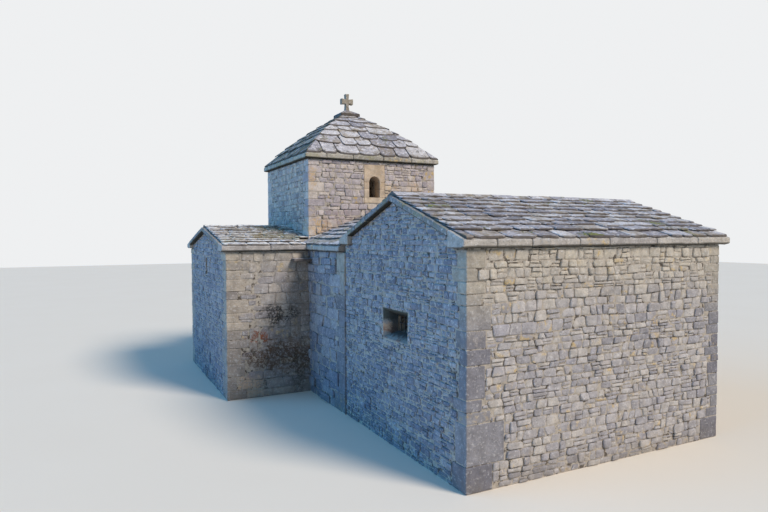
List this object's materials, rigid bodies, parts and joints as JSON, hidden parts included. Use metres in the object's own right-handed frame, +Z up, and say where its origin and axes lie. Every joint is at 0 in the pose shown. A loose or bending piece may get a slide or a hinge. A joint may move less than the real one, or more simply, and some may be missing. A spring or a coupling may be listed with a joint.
{
  "type": "small stone chapel",
  "caption": "Small cross-plan stone chapel with a slab-roofed square tower topped by a cross and a gabled hall; rests on level ground.",
  "frame": {"origin": "on the tower's axis, at the level the walls stand on", "axes": "+Z up, -Y out of the long front wall of the hall, -X out of the gable with the window"},
  "size_m": [8.34, 13.37, 7.915],
  "materials": {
    "rubble_stone": "rough limestone rubble in pale lime mortar",
    "edge_stone": "rough cut limestone with lichen",
    "dressed_stone": "dressed yellow limestone",
    "roof_slab": "split grey stone slabs with moss and lichen",
    "vault_mortar": "rubble vaulting with lime mortar",
    "floor_flags": "worn stone flags"
  },
  "bodies": {
    "root": {"hall_front_wall": "rubble_stone", "hall_back_wall": "rubble_stone", "hall_left_gable": "rubble_stone", "hall_right_gable": "rubble_stone", "hall_vault": "vault_mortar", "hall_roof": "roof_slab", "hall_eaves": "edge_stone", "hall_coping": "edge_stone", "hall_floor": "floor_flags", "doorway_surround": "dressed_stone", "doorway_steps": "floor_flags", "neck_walls": "rubble_stone", "neck_vault": "vault_mortar", "neck_roof": "roof_slab", "neck_eaves": "edge_stone", "left_arm_gable": "rubble_stone", "left_arm_walls": "rubble_stone", "left_arm_vault": "vault_mortar", "left_arm_roof": "roof_slab", "left_arm_eaves": "edge_stone", "left_arm_coping": "edge_stone", "right_arm_gable": "rubble_stone", "right_arm_walls": "rubble_stone", "right_arm_vault": "vault_mortar", "right_arm_roof": "roof_slab", "right_arm_eaves": "edge_stone", "right_arm_coping": "edge_stone", "back_arm_gable": "rubble_stone", "back_arm_walls": "rubble_stone", "back_arm_vault": "vault_mortar", "back_arm_roof": "roof_slab", "back_arm_eaves": "edge_stone", "back_arm_coping": "edge_stone", "crossing_piers": "rubble_stone", "tower_front_wall": "rubble_stone", "tower_back_wall": "rubble_stone", "tower_left_wall": "rubble_stone", "tower_right_wall": "rubble_stone", "tower_windows": "dressed_stone", "tower_dome": "vault_mortar", "tower_cornice": "edge_stone", "tower_roof": "roof_slab", "roof_cross": "edge_stone", "cross_floor": "floor_flags", "corner_drip_slab": "roof_slab"}
  },
  "joints": []
}
